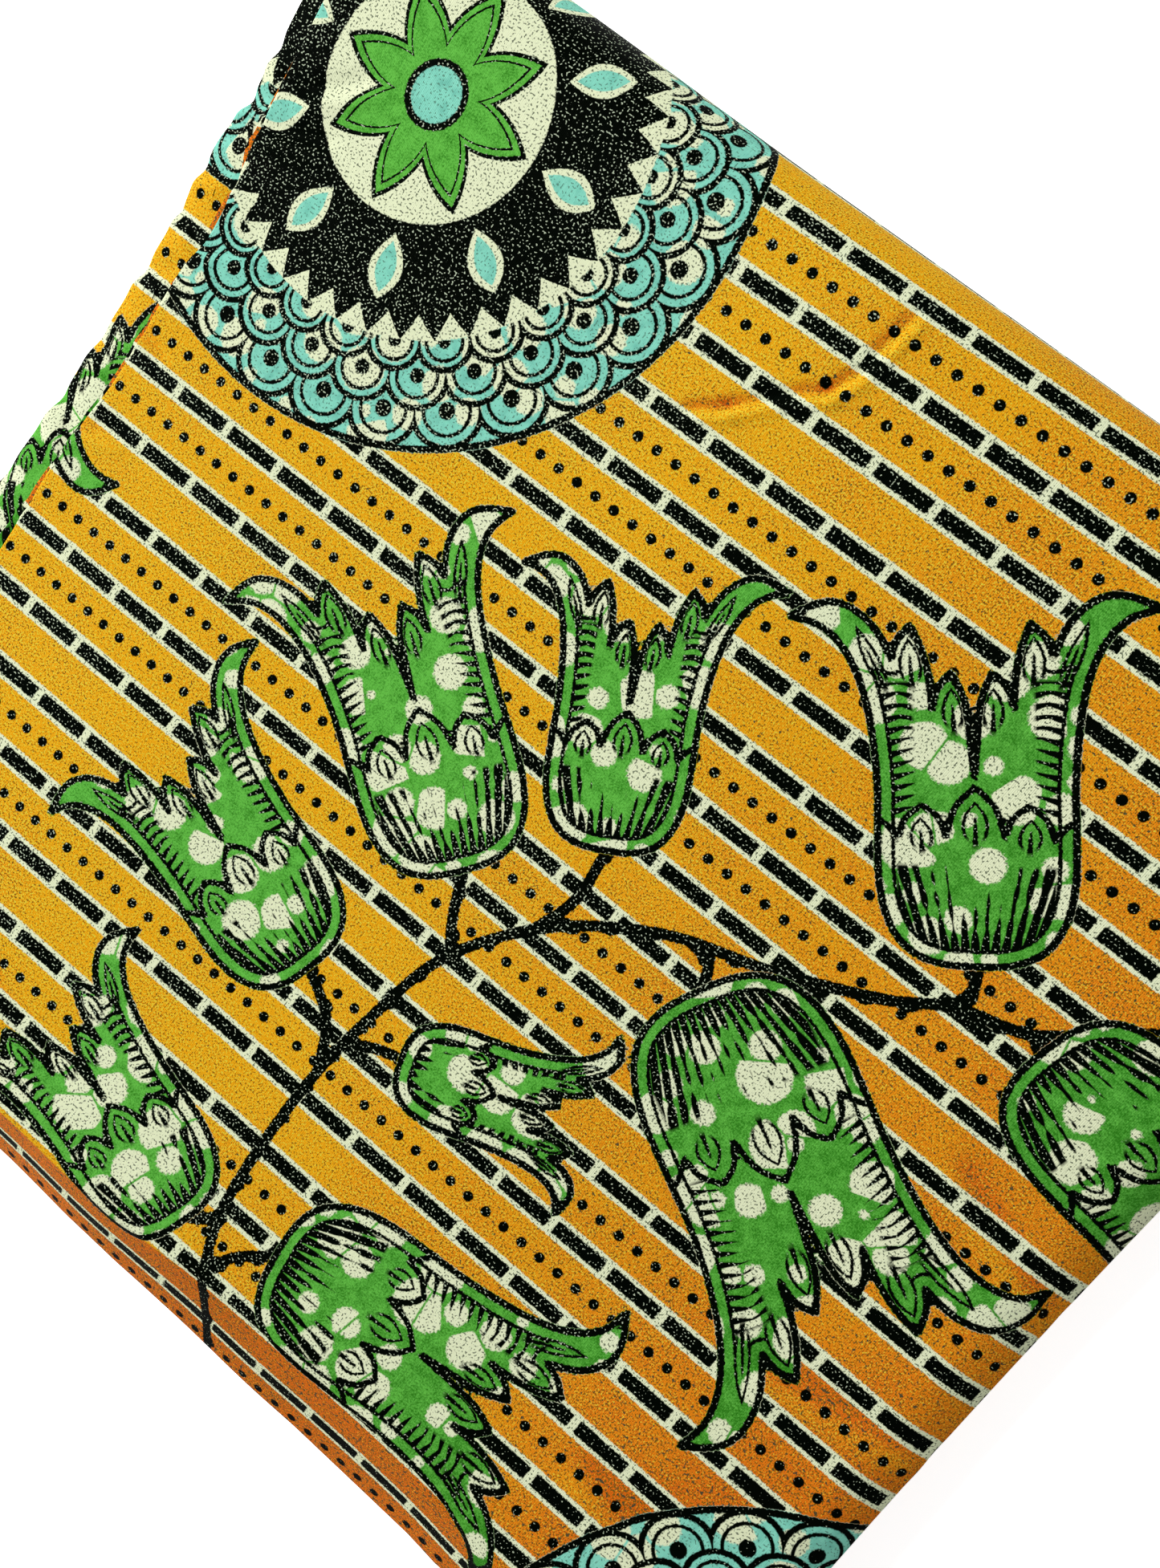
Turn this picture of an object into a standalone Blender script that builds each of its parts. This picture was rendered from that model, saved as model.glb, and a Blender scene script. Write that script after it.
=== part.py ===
"""A length of printed cotton, folded in four and wound into a flat bundle that lies on a table.

Metres, +Z up, origin under the middle of the bundle. X runs along the printed stripes and Y across them.
The cloth is one length. Its strip of four plies goes round the bundle turn after turn, so each turn
shows a folded edge at both ends of X and rolls over the two sides of Y.
"""

import math

import bmesh
import bpy

# Plies
CLOTH_THICKNESS = 0.0003
PLIES_IN_STRIP = 4
TURN_WALL = PLIES_IN_STRIP * CLOTH_THICKNESS
TURN_GAP = 0.0003
TURN_STEP = TURN_WALL + TURN_GAP
INNER_TURN_COUNT = 8

# Height of the bundle, which is pressed thin in the middle and thick at the two rolled sides
HALF_LENGTH = 0.140
MIDDLE_HEIGHT = 0.0200
SIDE_RISE = 0.0120
CORNER_TWIST = 0.0035
RIGHT_MARGIN = 0.014
RIGHT_DROP = 0.0050
LEFT_MARGIN = 0.009
LEFT_DROP = 0.0015

# Tail of the cloth, a narrow slot on the underside
TAIL_PLACE = -0.060
TAIL_GAP = 0.0009

# Fineness of the surfaces
ROUND_ROWS = 58
ACROSS_COLUMNS = 15
CORE_COLUMNS = 9
EDGE_CROWDING = 0.11
RIM_ROUNDING = 0.00035

# Ends of the inner turns
RIDGE_DEPTH = 0.0011
CORE_CLOSING = 0.93
LEFT_SET_BACK = 0.0030
RIGHT_SET_BACK = 0.0022
MIDLINE_MARGIN = 0.012

# Middle of the bundle's outline in the plan that the tables below are drawn in
MIDDLE_OF_OUTLINE = (0.00024, -0.00174)

# Folded edges seen from above: where along Y, and the X of the edge there
OUTER_LEFT_EDGE = (
    {"y": -0.150, "x": -0.1365},
    {"y": -0.060, "x": -0.1360},
    {"y": -0.029, "x": -0.1357},
    {"y": 0.000, "x": -0.1373},
    {"y": 0.018, "x": -0.1360},
    {"y": 0.046, "x": -0.1370},
    {"y": 0.060, "x": -0.1356},
    {"y": 0.082, "x": -0.1385},
    {"y": 0.110, "x": -0.1407},
    {"y": 0.150, "x": -0.1430},
)
SECOND_LEFT_EDGE = (
    {"y": -0.150, "x": -0.1480},
    {"y": -0.016, "x": -0.1483},
    {"y": 0.010, "x": -0.1473},
    {"y": 0.046, "x": -0.1471},
    {"y": 0.060, "x": -0.1474},
    {"y": 0.075, "x": -0.1484},
    {"y": 0.086, "x": -0.1463},
    {"y": 0.109, "x": -0.1477},
    {"y": 0.150, "x": -0.1500},
)
RIGHT_EDGE = (
    {"y": -0.150, "x": 0.1473},
    {"y": -0.085, "x": 0.1485},
    {"y": -0.020, "x": 0.1492},
    {"y": 0.150, "x": 0.1500},
)

# Widest lines of the two rolled sides: where along X, and the Y of the side there
CREASED_SIDE = (
    {"x": -0.150, "y": -0.1405},
    {"x": -0.120, "y": -0.1430},
    {"x": 0.050, "y": -0.1458},
    {"x": 0.130, "y": -0.1468},
    {"x": 0.150, "y": -0.1448},
)
ROLLED_SIDE = (
    {"x": -0.150, "y": 0.1420},
    {"x": -0.125, "y": 0.1435},
    {"x": -0.034, "y": 0.1421},
    {"x": 0.053, "y": 0.1411},
    {"x": 0.125, "y": 0.1398},
    {"x": 0.150, "y": 0.1372},
)

# Sections of the two sides, from the underside up: distance in from the widest line, share of the height
CREASED_SECTION = (
    {"inward": 0.0300, "height": 0.00},
    {"inward": 0.0220, "height": 0.00},
    {"inward": 0.0150, "height": 0.00},
    {"inward": 0.0080, "height": 0.00},
    {"inward": 0.0018, "height": 0.07},
    {"inward": -0.0006, "height": 0.29},
    {"inward": 0.0010, "height": 0.53},
    {"inward": 0.0080, "height": 0.73},
    {"inward": 0.0175, "height": 1.05},
)
ROLLED_SECTION = (
    {"inward": 0.0300, "height": 0.00},
    {"inward": 0.0230, "height": 0.00},
    {"inward": 0.0160, "height": 0.00},
    {"inward": 0.0090, "height": 0.00},
    {"inward": 0.0024, "height": 0.06},
    {"inward": -0.0004, "height": 0.31},
    {"inward": 0.0008, "height": 0.60},
    {"inward": 0.0070, "height": 0.86},
    {"inward": 0.0150, "height": 0.985},
)
PANEL_START = 0.0260
PANEL_END = 0.0270
PANEL_SPOTS = 11
UNDER_SPOTS = (-0.095, 0.000, 0.060)

# How far each inner turn's fold stands out at its end, from the outermost turn to the innermost
TURN_STAND_OUT = (0.0004, -0.0006, 0.0007, 0.0001, -0.0008, 0.0006, -0.0002, 0.0004)

CLOTHS = {
    "outer_turn": {"colour": (0.83, 0.42, 0.03, 1.0), "roughness": 0.45},
    "second_turn": {"colour": (0.72, 0.36, 0.03, 1.0), "roughness": 0.45},
    "inner_turns": {"colour": (0.55, 0.32, 0.08, 1.0), "roughness": 0.60},
}


def read_table(rows, along, wanted, place):
    """Value of a table at a place, on a smooth curve through its rows."""
    last = len(rows) - 1
    place = min(max(place, rows[0][along]), rows[last][along])
    k = 0
    while k < last - 1 and place > rows[k + 1][along]:
        k += 1
    before, start = rows[max(k - 1, 0)], rows[k]
    end, after = rows[k + 1], rows[min(k + 2, last)]
    span = end[along] - start[along]
    share = (place - start[along]) / span
    start_slope = (end[wanted] - before[wanted]) / (end[along] - before[along]) * span
    end_slope = (after[wanted] - start[wanted]) / (after[along] - start[along]) * span
    square, cube = share ** 2, share ** 3
    return (
        (2 * cube - 3 * square + 1) * start[wanted]
        + (cube - 2 * square + share) * start_slope
        + (3 * square - 2 * cube) * end[wanted]
        + (cube - square) * end_slope
    )


def top_height(x, y):
    """Height of the bundle's upper face over the table."""
    right_start = RIGHT_EDGE[-1]["x"] - RIGHT_MARGIN
    left_start = SECOND_LEFT_EDGE[0]["x"] + LEFT_MARGIN
    right_share = max(0.0, x - right_start) / RIGHT_MARGIN
    left_share = max(0.0, left_start - x) / LEFT_MARGIN
    rise = SIDE_RISE * (y / HALF_LENGTH) ** 2
    twist = CORNER_TWIST * x * y / HALF_LENGTH ** 2
    return MIDDLE_HEIGHT + rise + twist - RIGHT_DROP * right_share ** 2 - LEFT_DROP * left_share ** 2


def section_controls(x):
    """Corner points of the closed section across the bundle at one X, starting at the cloth's tail."""
    low = read_table(CREASED_SIDE, "x", "y", x)
    high = read_table(ROLLED_SIDE, "x", "y", x)
    points = [(TAIL_PLACE, 0.0), (UNDER_SPOTS[0], 0.0)]
    for row in CREASED_SECTION:
        y = low + row["inward"]
        points.append((y, row["height"] * top_height(x, y)))
    for k in range(PANEL_SPOTS):
        y = low + PANEL_START + (high - PANEL_END - low - PANEL_START) * k / (PANEL_SPOTS - 1)
        points.append((y, top_height(x, y)))
    for row in reversed(ROLLED_SECTION):
        y = high - row["inward"]
        points.append((y, row["height"] * top_height(x, y)))
    points.append((UNDER_SPOTS[2], 0.0))
    points.append((UNDER_SPOTS[1], 0.0))
    return points


def section_point(points, place):
    """Point on the soft closed curve that the section's corner points steer."""
    k = math.floor(place)
    t = place - k
    weights = (
        (1 - t) ** 3 / 6,
        (3 * t ** 3 - 6 * t ** 2 + 4) / 6,
        (-3 * t ** 3 + 3 * t ** 2 + 3 * t + 1) / 6,
        t ** 3 / 6,
    )
    near = [points[(k + step) % len(points)] for step in (-1, 0, 1, 2)]
    y = sum(weight * point[0] for weight, point in zip(weights, near))
    z = sum(weight * point[1] for weight, point in zip(weights, near))
    return y, z


def crowded(share):
    """Share of the way across, with the steps closer together near both edges."""
    return share - EDGE_CROWDING * math.sin(2 * math.pi * share)


def flat_grid(columns, rows):
    """A unit sheet with its X and Y from 0 to 1."""
    sheet = bmesh.new()
    bmesh.ops.create_grid(sheet, x_segments=columns, y_segments=rows, size=0.5)
    bmesh.ops.translate(sheet, verts=sheet.verts, vec=(0.5, 0.5, 0.0))
    return sheet


def finish_object(name, sheet):
    """Store a mesh as a named object with its own cloth material."""
    mesh = bpy.data.meshes.new(name)
    sheet.to_mesh(mesh)
    sheet.free()
    mesh.shade_smooth()
    material = bpy.data.materials.new(name)
    material.use_nodes = True
    shader = material.node_tree.nodes["Principled BSDF"]
    shader.inputs["Base Color"].default_value = CLOTHS[name]["colour"]
    shader.inputs["Roughness"].default_value = CLOTHS[name]["roughness"]
    shader.inputs["Metallic"].default_value = 0.0
    mesh.materials.append(material)
    thing = bpy.data.objects.new(name, mesh)
    thing.location = (-MIDDLE_OF_OUTLINE[0], -MIDDLE_OF_OUTLINE[1], 0.0)
    bpy.context.scene.collection.objects.link(thing)
    return thing


def make_turn(name, left_edge, layer):
    """One turn of the folded strip: a sheet wrapped round the bundle, then given the strip's thickness."""
    sheet = flat_grid(ACROSS_COLUMNS, ROUND_ROWS)
    corner_count = len(section_controls(0.0))
    tail_share = TAIL_GAP / (UNDER_SPOTS[1] - UNDER_SPOTS[0])
    for vert in sheet.verts:
        across = crowded(vert.co.x)
        place = tail_share + (corner_count - 2 * tail_share) * vert.co.y
        x = 0.0
        for _ in range(3):
            y, z = section_point(section_controls(x), place)
            left = read_table(left_edge, "y", "x", y)
            right = read_table(RIGHT_EDGE, "y", "x", y)
            x = left + (right - left) * across
        y, z = section_point(section_controls(x), place)
        vert.co = (x, y, z)
    bmesh.ops.recalc_face_normals(sheet, faces=sheet.faces)
    sheet.normal_update()
    outward = max(sheet.faces, key=lambda face: face.calc_center_median().z).normal.z
    if outward < 0:
        bmesh.ops.reverse_faces(sheet, faces=sheet.faces)
    sheet.normal_update()
    moves = [vert.normal * vert.calc_shell_factor() * TURN_STEP * layer for vert in sheet.verts]
    for vert, move in zip(sheet.verts, moves):
        vert.co -= move
    turn = finish_object(name, sheet)
    wall = turn.modifiers.new("Strip thickness", "SOLIDIFY")
    wall.thickness = TURN_WALL
    wall.offset = -1.0
    wall.use_even_offset = True
    rim = turn.modifiers.new("Rounded folds", "BEVEL")
    rim.width = RIM_ROUNDING
    rim.segments = 1
    rim.limit_method = "ANGLE"
    rim.angle_limit = math.radians(65)
    return turn


def inset_section(x, place, inset):
    """Point of the section at one X, moved in square to the curve."""
    points = section_controls(x)
    y, z = section_point(points, place)
    ahead = section_point(points, place + 0.05)
    behind = section_point(points, place - 0.05)
    run, lift = ahead[0] - behind[0], ahead[1] - behind[1]
    length = math.hypot(run, lift)
    slope = (top_height(x + 0.001, y) - top_height(x - 0.001, y)) / 0.002
    depth = inset * math.sqrt(1 + slope ** 2)
    return y + lift / length * depth, z - run / length * depth


def core_stations():
    """Stations along the inner turns: where each loop is, how closed it is and how far it stands out."""
    stations = []
    half_steps = 2 * INNER_TURN_COUNT
    for end in ("left", "right"):
        rings = []
        for k in range(half_steps + 1):
            turn = min(k // 2, INNER_TURN_COUNT - 1)
            ridge = RIDGE_DEPTH / 2 if k % 2 else -RIDGE_DEPTH / 2
            closing = CORE_CLOSING * k / half_steps
            rings.append({"end": end, "closing": closing, "out": ridge + TURN_STAND_OUT[turn]})
        if end == "left":
            stations.extend(reversed(rings))
            stations.extend({"end": "between", "share": k / CORE_COLUMNS} for k in range(1, CORE_COLUMNS))
        else:
            stations.extend(rings)
    return stations


def core_x(station, y):
    """X of a station of the inner turns, at one Y."""
    left = read_table(SECOND_LEFT_EDGE, "y", "x", y) + LEFT_SET_BACK
    right = read_table(RIGHT_EDGE, "y", "x", y) - RIGHT_SET_BACK
    if station["end"] == "left":
        return left - station["out"]
    if station["end"] == "right":
        return right + station["out"]
    return left + (right - left) * station["share"]


def make_core(name):
    """The inner turns as one rounded solid, with their folded edges in rings at both ends."""
    stations = core_stations()
    sheet = flat_grid(len(stations) - 1, ROUND_ROWS)
    corner_count = len(section_controls(0.0))
    for vert in sheet.verts:
        station = stations[round(vert.co.x * (len(stations) - 1))]
        place = corner_count * vert.co.y
        x = 0.0
        for _ in range(3):
            y, z = inset_section(x, place, 2 * TURN_STEP)
            x = core_x(station, y)
        y, z = inset_section(x, place, 2 * TURN_STEP)
        low = read_table(CREASED_SIDE, "x", "y", x) + MIDLINE_MARGIN
        high = read_table(ROLLED_SIDE, "x", "y", x) - MIDLINE_MARGIN
        middle_y = min(max(y, low), high)
        middle_z = top_height(x, middle_y) / 2
        closing = station.get("closing", 0.0)
        vert.co = (x, y + (middle_y - y) * closing, z + (middle_z - z) * closing)
    bmesh.ops.remove_doubles(sheet, verts=sheet.verts, dist=0.00001)
    open_edges = [edge for edge in sheet.edges if edge.is_boundary]
    bmesh.ops.holes_fill(sheet, edges=open_edges, sides=0)
    bmesh.ops.triangulate(sheet, faces=[face for face in sheet.faces if len(face.verts) > 4])
    bmesh.ops.recalc_face_normals(sheet, faces=sheet.faces)
    return finish_object(name, sheet)


def clear_scene():
    """Take out whatever the scene starts with."""
    for thing in list(bpy.data.objects):
        bpy.data.objects.remove(thing, do_unlink=True)


def main():
    clear_scene()
    make_turn("outer_turn", OUTER_LEFT_EDGE, 0)
    make_turn("second_turn", SECOND_LEFT_EDGE, 1)
    make_core("inner_turns")


main()
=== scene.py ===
"""A length of printed cotton with a satin face, folded in four and wound into a flat bundle on a floor.

Shapes are in metres, in the part's own frame. Every piece also keeps its places on the flat cloth, in
millimetres along the stripes and across them, and the print is drawn from those, so it follows the folds.
"""
import math

import bmesh
import bpy
import numpy as np
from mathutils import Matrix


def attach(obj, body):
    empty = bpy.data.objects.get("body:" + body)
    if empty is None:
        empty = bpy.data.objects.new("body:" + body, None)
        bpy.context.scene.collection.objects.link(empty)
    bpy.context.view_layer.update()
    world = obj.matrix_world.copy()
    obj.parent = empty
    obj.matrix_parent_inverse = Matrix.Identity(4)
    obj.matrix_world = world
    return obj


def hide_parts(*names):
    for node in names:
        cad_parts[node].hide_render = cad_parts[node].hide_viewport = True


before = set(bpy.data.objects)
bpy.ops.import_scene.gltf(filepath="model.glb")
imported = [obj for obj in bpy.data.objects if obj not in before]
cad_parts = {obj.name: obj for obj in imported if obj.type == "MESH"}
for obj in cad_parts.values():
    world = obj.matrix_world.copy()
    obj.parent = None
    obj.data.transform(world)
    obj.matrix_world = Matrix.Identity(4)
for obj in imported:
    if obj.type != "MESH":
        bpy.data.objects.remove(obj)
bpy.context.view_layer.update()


def table(names, *rows):
    """Rows of numbers as rows with named columns."""
    return tuple(dict(zip(names, row)) for row in rows)


def named(names, *rows):
    """A table whose rows are found by the name that each begins with."""
    return {name: dict(zip(names, row)) for name, *row in rows}


# Sizes of the bundle, as in the part's solids
TURN_STEP = 0.0015
HALF_LENGTH = 0.140
MIDDLE_HEIGHT = 0.0200
SIDE_RISE = 0.0120
CORNER_TWIST = 0.0035
RIGHT_MARGIN = 0.014
RIGHT_DROP = 0.0050
LEFT_MARGIN = 0.009
LEFT_DROP = 0.0015
TAIL_PLACE = -0.060
TAIL_GAP = 0.0009
PANEL_START = 0.0260
PANEL_END = 0.0270
PANEL_SPOTS = 11
UNDER_SPOTS = (-0.095, 0.000, 0.060)
MIDDLE_OF_OUTLINE = (0.00024, -0.00174)

OUTER_LEFT_EDGE = table(
    ("y", "x"),
    (-0.150, -0.1365), (-0.060, -0.1360), (-0.029, -0.1357), (0.000, -0.1373), (0.018, -0.1360),
    (0.046, -0.1370), (0.060, -0.1356), (0.082, -0.1385), (0.110, -0.1407), (0.150, -0.1430),
)
SECOND_LEFT_EDGE = table(
    ("y", "x"),
    (-0.150, -0.1480), (-0.016, -0.1483), (0.010, -0.1473), (0.046, -0.1471), (0.060, -0.1474),
    (0.075, -0.1484), (0.086, -0.1463), (0.109, -0.1477), (0.150, -0.1500),
)
RIGHT_EDGE = table(
    ("y", "x"),
    (-0.150, 0.1473), (-0.085, 0.1485), (-0.020, 0.1492), (0.150, 0.1500),
)
CREASED_SIDE = table(
    ("x", "y"),
    (-0.150, -0.1405), (-0.120, -0.1430), (0.050, -0.1458), (0.130, -0.1468), (0.150, -0.1448),
)
ROLLED_SIDE = table(
    ("x", "y"),
    (-0.150, 0.1420), (-0.125, 0.1435), (-0.034, 0.1421), (0.053, 0.1411), (0.125, 0.1398),
    (0.150, 0.1372),
)

# Halves of the section; the crease further down cuts the creased one
CREASED_SECTION = table(
    ("inward", "height"),
    (0.0300, 0.00), (0.0220, 0.00), (0.0150, 0.00), (0.0080, 0.00), (0.0018, 0.07), (-0.0006, 0.33),
    (0.0006, 0.60), (0.0060, 0.80), (0.0148, 1.03),
)
ROLLED_SECTION = table(
    ("inward", "height"),
    (0.0300, 0.00), (0.0230, 0.00), (0.0160, 0.00), (0.0090, 0.00), (0.0024, 0.06), (-0.0004, 0.31),
    (0.0008, 0.60), (0.0070, 0.86), (0.0150, 0.985),
)

# Crease where the top turns down to the lower side: its line from above, the fall of the side beyond it
# and how far the line itself is sunk
CREASE = table(
    ("x", "y", "fall", "sink"),
    (-0.150, -0.1258, 0.86, 0.0), (-0.051, -0.1268, 0.84, 0.0), (-0.023, -0.1276, 0.78, 0.0),
    (-0.003, -0.1262, 0.71, 0.0001), (0.010, -0.1250, 0.65, 0.0003), (0.028, -0.1246, 0.60, 0.0005),
    (0.045, -0.1242, 0.60, 0.0005), (0.060, -0.1245, 0.61, 0.0005), (0.075, -0.1257, 0.63, 0.0004),
    (0.088, -0.1278, 0.64, 0.0002), (0.105, -0.1300, 0.65, 0.0), (0.150, -0.1310, 0.65, 0.0),
)
CREASE_MIDDLE = (-0.1262, 0.0298)
CREASE_CROWDING = 0.6
CREASE_REACH = 0.0055
CREASE_HALF = 0.0008
CREASE_ROWS = 26
CREASE_WINDOW = 0.02
LIP = {"height": 0.5, "place": 0.0026, "half": 0.0018}

# Inner turns, as in the part's solids
INNER_TURN_COUNT = 8
CORE_CLOSING = 0.93
LEFT_SET_BACK = 0.0030
RIGHT_SET_BACK = 0.0022
MIDLINE_MARGIN = 0.012

# Fineness of the sheets
FINE_STEP = 0.00112
COARSE_STEP = 0.0046
UNDERSIDE_BLEND = 0.006
PANEL_COLUMNS = 238
SECOND_FINE_COLUMNS = 14
SECOND_COARSE_COLUMNS = 24
SECOND_FINE_SHARE = 0.053
INNER_STEP = 0.0030
MEASURING_STEPS = 8001
EDGE_ROUNDS = 4
UPPER_HALF = (MIDDLE_HEIGHT * 0.3, MIDDLE_HEIGHT * 0.7)

# Folded edges of the inner turns
INNER_FOLD_OUT = (0.0006, 0.0001, 0.0009, -0.0003, 0.0004, 0.0010, -0.0006, 0.0002, 0.0007, -0.0001, 0.0011)
INNER_LEG = 0.0045
INNER_REACH = 0.0007
INNER_TURN_STEPS = 4
INNER_WANDER = 0.00022
INNER_WAVES = table(("round", "fold"), (0.9, 2.1), (2.3, 4.7))
INNER_PLY_SHARE = 0.46
SLOPE_STEP = 0.05
INNER_PRINT_STEP = 7.3

# Camera at the photo's angle
CAMERA_PLACE = (0.04675, 0.06238, 0.30364)
CAMERA_TURN = (-2.178, 12.3105, 38.007)
LENS = 31.44


def curve_through(spots, values, places):
    """Values at many places, on a smooth curve through spots in rising order."""
    last = len(spots) - 1
    places = np.clip(places, spots[0], spots[last])
    k = np.clip(np.searchsorted(spots, places, side="right") - 1, 0, last - 1)
    before = np.maximum(k - 1, 0)
    after = np.minimum(k + 2, last)
    span = spots[k + 1] - spots[k]
    share = (places - spots[k]) / span
    start_slope = (values[k + 1] - values[before]) / (spots[k + 1] - spots[before]) * span
    end_slope = (values[after] - values[k]) / (spots[after] - spots[k]) * span
    square = share ** 2
    cube = share ** 3
    return (
        (2 * cube - 3 * square + 1) * values[k]
        + (cube - 2 * square + share) * start_slope
        + (3 * square - 2 * cube) * values[k + 1]
        + (cube - square) * end_slope
    )


def column(rows, name):
    """One named column of a table."""
    return np.array([row[name] for row in rows], dtype=float)


def read_table(rows, along, wanted, places):
    """Values of a table at many places, on a smooth curve through its rows."""
    return curve_through(column(rows, along), column(rows, wanted), places)


def soft_step(start, end, values):
    """Share from 0 at the start to 1 at the end, eased at both."""
    share = np.clip((values - start) / (end - start), 0.0, 1.0)
    return share * share * (3 - 2 * share)


def top_height(x, y):
    """Height of the bundle's upper face over the floor."""
    right_share = np.maximum(0.0, x - (RIGHT_EDGE[-1]["x"] - RIGHT_MARGIN)) / RIGHT_MARGIN
    left_share = np.maximum(0.0, SECOND_LEFT_EDGE[0]["x"] + LEFT_MARGIN - x) / LEFT_MARGIN
    rise = SIDE_RISE * (y / HALF_LENGTH) ** 2
    twist = CORNER_TWIST * x * y / HALF_LENGTH ** 2
    return MIDDLE_HEIGHT + rise + twist - RIGHT_DROP * right_share ** 2 - LEFT_DROP * left_share ** 2


def section_corners():
    """Corners that steer the section: shares of its two widest lines, a distance and a share of height."""
    rows = [(0.0, 0.0, TAIL_PLACE, 0.0), (0.0, 0.0, UNDER_SPOTS[0], 0.0)]
    rows += [(1.0, 0.0, row["inward"], row["height"]) for row in CREASED_SECTION]
    for k in range(PANEL_SPOTS):
        share = k / (PANEL_SPOTS - 1)
        rows.append((1 - share, share, PANEL_START * (1 - share) - PANEL_END * share, 1.0))
    rows += [(0.0, 1.0, -row["inward"], row["height"]) for row in reversed(ROLLED_SECTION)]
    rows += [(0.0, 0.0, UNDER_SPOTS[2], 0.0), (0.0, 0.0, UNDER_SPOTS[1], 0.0)]
    return np.array(rows)


SECTION = section_corners()


def section_point(x, place):
    """Y and Z of the bundle's surface at many X and many places round the section."""
    low = read_table(CREASED_SIDE, "x", "y", x)
    high = read_table(ROLLED_SIDE, "x", "y", x)
    start = np.floor(place).astype(int)
    t = place - start
    weights = (
        (1 - t) ** 3 / 6,
        (3 * t ** 3 - 6 * t ** 2 + 4) / 6,
        (-3 * t ** 3 + 3 * t ** 2 + 3 * t + 1) / 6,
        t ** 3 / 6,
    )
    y = np.zeros_like(t)
    z = np.zeros_like(t)
    for step, weight in zip((-1, 0, 1, 2), weights):
        corner = SECTION[(start + step) % len(SECTION)]
        corner_y = corner[..., 0] * low + corner[..., 1] * high + corner[..., 2]
        y += weight * corner_y
        z += weight * corner[..., 3] * top_height(x, corner_y)
    crease = read_table(CREASE, "x", "y", x)
    side = top_height(x, crease) - (crease - y) * read_table(CREASE, "x", "fall", x)
    return y, np.where(y < crease, np.minimum(z, side), z)


def round_places(fine, coarse):
    """Places round the section, close together over the top and sides and wider apart underneath."""
    tail = TAIL_GAP / (UNDER_SPOTS[1] - UNDER_SPOTS[0])
    places = np.linspace(tail, len(SECTION) - tail, MEASURING_STEPS)
    y, z = section_point(np.zeros_like(places), places)
    middle_z = (z[1:] + z[:-1]) / 2
    spacing = coarse + (fine - coarse) * soft_step(0.0, UNDERSIDE_BLEND, middle_z)
    from_crease = np.hypot(y[1:] - CREASE_MIDDLE[0], middle_z - CREASE_MIDDLE[1])
    spacing *= 1 - CREASE_CROWDING * np.exp(-(from_crease / CREASE_REACH) ** 2)
    steps = np.concatenate([[0.0], np.cumsum(np.hypot(np.diff(y), np.diff(z)) / spacing)])
    return np.interp(np.linspace(0, steps[-1], math.ceil(steps[-1]) + 1), steps, places)


def unit(vectors):
    """The same directions with a length of 1."""
    return vectors / np.linalg.norm(vectors, axis=-1, keepdims=True)


def outward(points):
    """Directions square to a grid of points."""
    return unit(np.cross(np.gradient(points, axis=1), np.gradient(points, axis=0)))


def surface_points(place, x_from_y):
    """X, Y and Z of the bundle's surface, where X follows from Y."""
    x = np.zeros(place.shape)
    for _ in range(EDGE_ROUNDS):
        x = x_from_y(section_point(x, place)[0])
    return x, *section_point(x, place)


def bundle_surface(left_edge, inset, across, places):
    """Points of the bundle's surface between its left and right edges."""
    across, place = np.broadcast_arrays(across, places)

    def x_from_y(y):
        left = read_table(left_edge, "y", "x", y) + inset
        right = read_table(RIGHT_EDGE, "y", "x", y) - inset
        return left + (right - left) * across

    return np.stack(surface_points(place, x_from_y), axis=-1)


# Dents pressed into the top: a short line from above, its depth, its half width and its end
DENTS = table(
    ("x", "y", "to_x", "to_y", "depth", "half"),
    (0.0012, 0.1185, 0.0024, 0.1262, 0.0009, 0.0012),
    (-0.0070, 0.1036, -0.0022, 0.1075, 0.0009, 0.0012),
    (-0.0022, 0.1075, 0.0006, 0.1135, 0.0009, 0.0012),
    (-0.0230, 0.0893, -0.0170, 0.0938, 0.0009, 0.0012),
    (-0.0170, 0.0938, -0.0100, 0.1008, 0.0008, 0.0012),
    (-0.1330, 0.0950, -0.1240, 0.1020, 0.0008, 0.0022),
    (-0.1360, 0.0840, -0.1240, 0.0880, 0.0007, 0.0020),
    (-0.1360, 0.0700, -0.1300, 0.0690, 0.0005, 0.0016),
    (-0.1360, 0.0550, -0.1270, 0.0600, 0.0005, 0.0024),
    (-0.1365, 0.0320, -0.1310, 0.0300, 0.0004, 0.0020),
    (-0.1360, 0.0060, -0.1290, 0.0100, 0.0004, 0.0022),
    (-0.1355, -0.0160, -0.1310, -0.0180, 0.0004, 0.0020),
    (-0.1355, -0.0520, -0.1270, -0.0480, 0.0005, 0.0026),
    (-0.1355, -0.0860, -0.1240, -0.0900, 0.0006, 0.0028),
    (0.1180, 0.0020, 0.1440, -0.0080, 0.0005, 0.0028),
    (0.1120, -0.0560, 0.1430, -0.0500, 0.0006, 0.0030),
    (0.1000, -0.0980, 0.1420, -0.1020, 0.0006, 0.0034),
    (-0.0900, -0.1020, -0.0500, -0.1120, 0.0005, 0.0030),
)
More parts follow.
